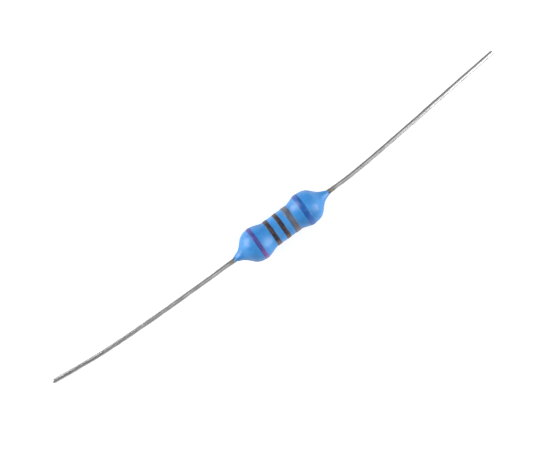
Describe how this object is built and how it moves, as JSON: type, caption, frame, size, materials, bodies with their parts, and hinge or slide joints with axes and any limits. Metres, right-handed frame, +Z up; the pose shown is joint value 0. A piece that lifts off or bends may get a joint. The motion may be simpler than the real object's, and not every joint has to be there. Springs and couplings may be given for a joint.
{
  "type": "axial resistor",
  "caption": "Small lacquered resistor with a waisted body, colour-code rings and a gently bowed wire lead out of each end",
  "frame": {"origin": "on the resting surface, under the middle of the body", "axes": "+X along the body towards the blue band, +Y to the side that both leads bow to, +Z up"},
  "size_m": [0.0514, 0.0036, 0.0034],
  "materials": {
    "alumina": "fired alumina, ground smooth",
    "metal_film": "sputtered nickel-chrome, dull metallic",
    "cap_steel": "pressed and tinned steel",
    "tinned_wire": "drawn copper wire with a satin tin plating",
    "blue_lacquer": "baked epoxy lacquer, semi-gloss",
    "blue_ink": "baked marking ink",
    "grey_ink": "baked marking ink",
    "black_ink": "baked marking ink",
    "violet_ink": "baked marking ink"
  },
  "bodies": {
    "root": {"ceramic_rod": "alumina", "resistive_film": "metal_film", "end_cap_left": "cap_steel", "end_cap_right": "cap_steel", "lead_left": "tinned_wire", "lead_right": "tinned_wire", "coating": "blue_lacquer", "band_1_blue": "blue_ink", "band_2_grey": "grey_ink", "band_3_black": "black_ink", "band_4_black": "black_ink", "band_5_violet": "violet_ink"}
  },
  "joints": []
}
